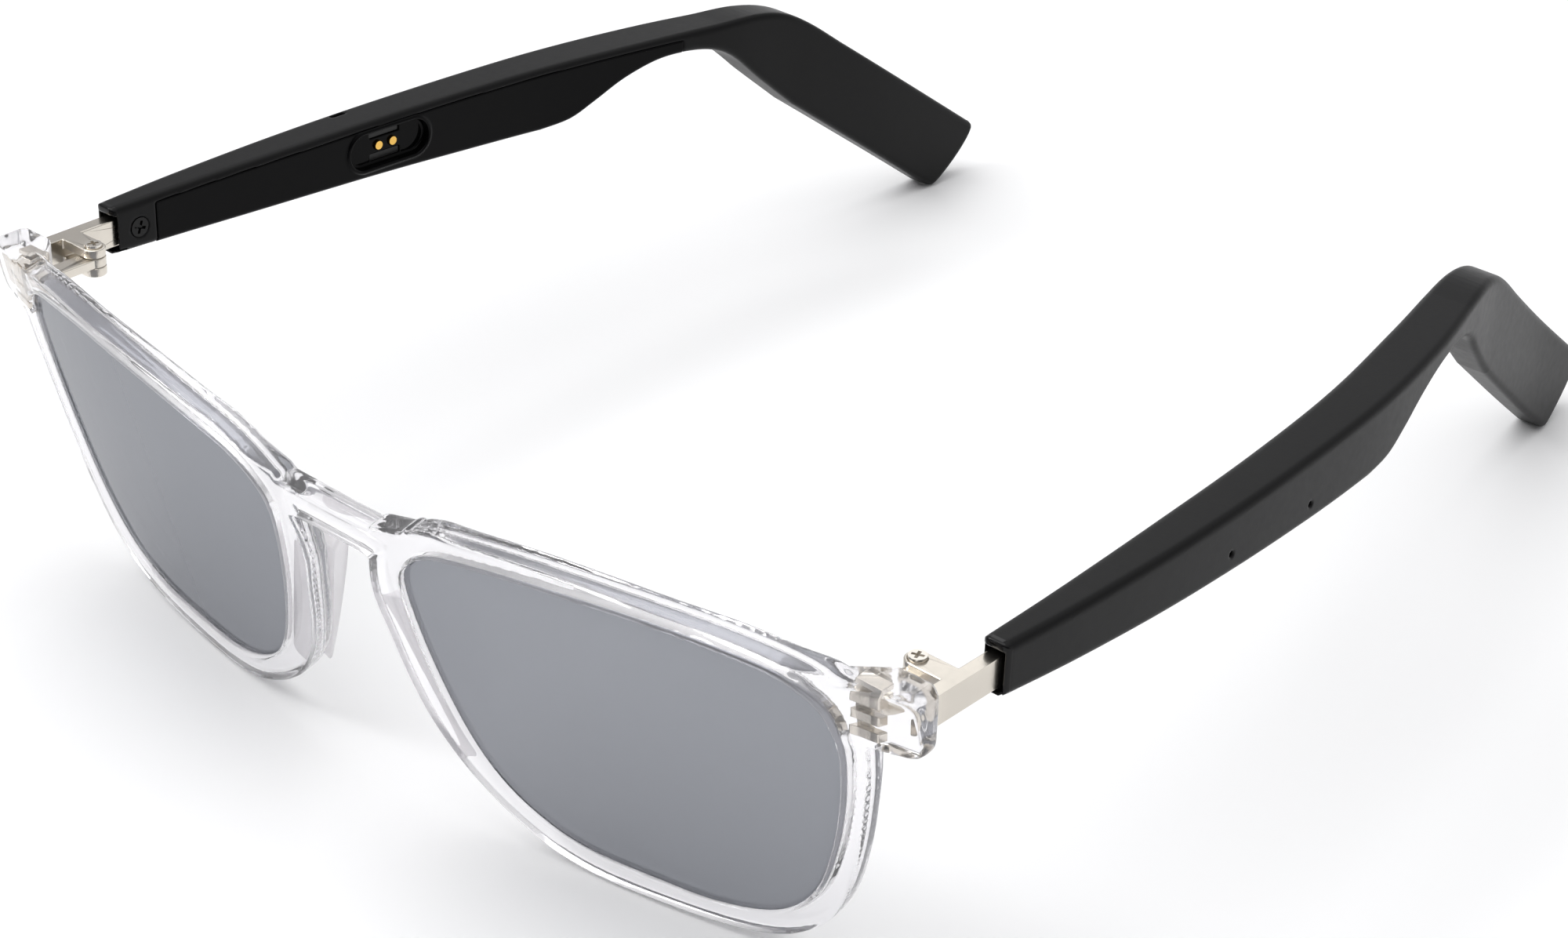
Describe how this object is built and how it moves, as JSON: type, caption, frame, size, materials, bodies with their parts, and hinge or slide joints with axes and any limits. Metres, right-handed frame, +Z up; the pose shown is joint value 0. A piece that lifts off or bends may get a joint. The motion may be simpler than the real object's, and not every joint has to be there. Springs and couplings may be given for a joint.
{
  "type": "smart glasses",
  "caption": "Clear-fronted smart glasses with tinted lenses, nickel hinges and folding black temples that hold sound and control electronics.",
  "frame": {"origin": "centre of the bounding box at the level that the rims and the ear tips stand on", "axes": "+X the wearer's left, +Y from the front to the ear tips, +Z up; the hinge pins lean 2 degrees from +Z toward +Y"},
  "size_m": [0.1368, 0.1639, 0.0426],
  "materials": {
    "clear_front": "polished",
    "tinted_lens": "mirror-coated",
    "nickel": "satin",
    "nickel_screw": "polished",
    "black_screw": "satin",
    "satin_black": "satin",
    "gloss_black": "gloss",
    "gold": "polished",
    "magnet": "satin",
    "cell_foil": "satin",
    "board": "satin",
    "copper_film": "satin",
    "mic_can": "satin",
    "speaker_case": "matte",
    "steel_mesh": "satin"
  },
  "bodies": {
    "front": {"front_frame": "clear_front", "lens_left": "tinted_lens", "lens_right": "tinted_lens", "nose_pad_left": "clear_front", "nose_pad_right": "clear_front", "front_hinge_left": "nickel", "front_hinge_right": "nickel"},
    "left_temple": {"hinge_screw_left": "nickel_screw", "temple_arm_left": "nickel", "arm_screw_left": "black_screw", "temple_shell_left": "satin_black", "inner_cover_left": "gloss_black", "charging_contact_front_left": "gold", "charging_contact_rear_left": "gold", "charging_magnet_upper_left": "magnet", "charging_magnet_lower_left": "magnet", "battery_left": "cell_foil", "circuit_board_left": "board", "touch_sensor_left": "copper_film", "microphone_front_left": "mic_can", "microphone_rear_left": "mic_can", "speaker_left": "speaker_case", "speaker_mesh_left": "steel_mesh", "antenna_left": "copper_film"},
    "right_temple": {"hinge_screw_right": "nickel_screw", "temple_arm_right": "nickel", "arm_screw_right": "black_screw", "temple_shell_right": "satin_black", "inner_cover_right": "gloss_black", "charging_contact_front_right": "gold", "charging_contact_rear_right": "gold", "charging_magnet_upper_right": "magnet", "charging_magnet_lower_right": "magnet", "battery_right": "cell_foil", "circuit_board_right": "board", "touch_sensor_right": "copper_film", "microphone_front_right": "mic_can", "microphone_rear_right": "mic_can", "speaker_right": "speaker_case", "speaker_mesh_right": "steel_mesh", "antenna_right": "copper_film"}
  },
  "joints": [
    {"name": "left_temple_fold", "type": "hinge", "parent": "front", "child": "left_temple", "pos_m": [0.061, -0.06215, 0.03548], "axis": [0, 0.0349, 0.9994], "range_deg": [0, 86]},
    {"name": "right_temple_fold", "type": "hinge", "parent": "front", "child": "right_temple", "pos_m": [-0.061, -0.06215, 0.03548], "axis": [0, -0.0349, -0.9994], "range_deg": [0, 76]}
  ]
}
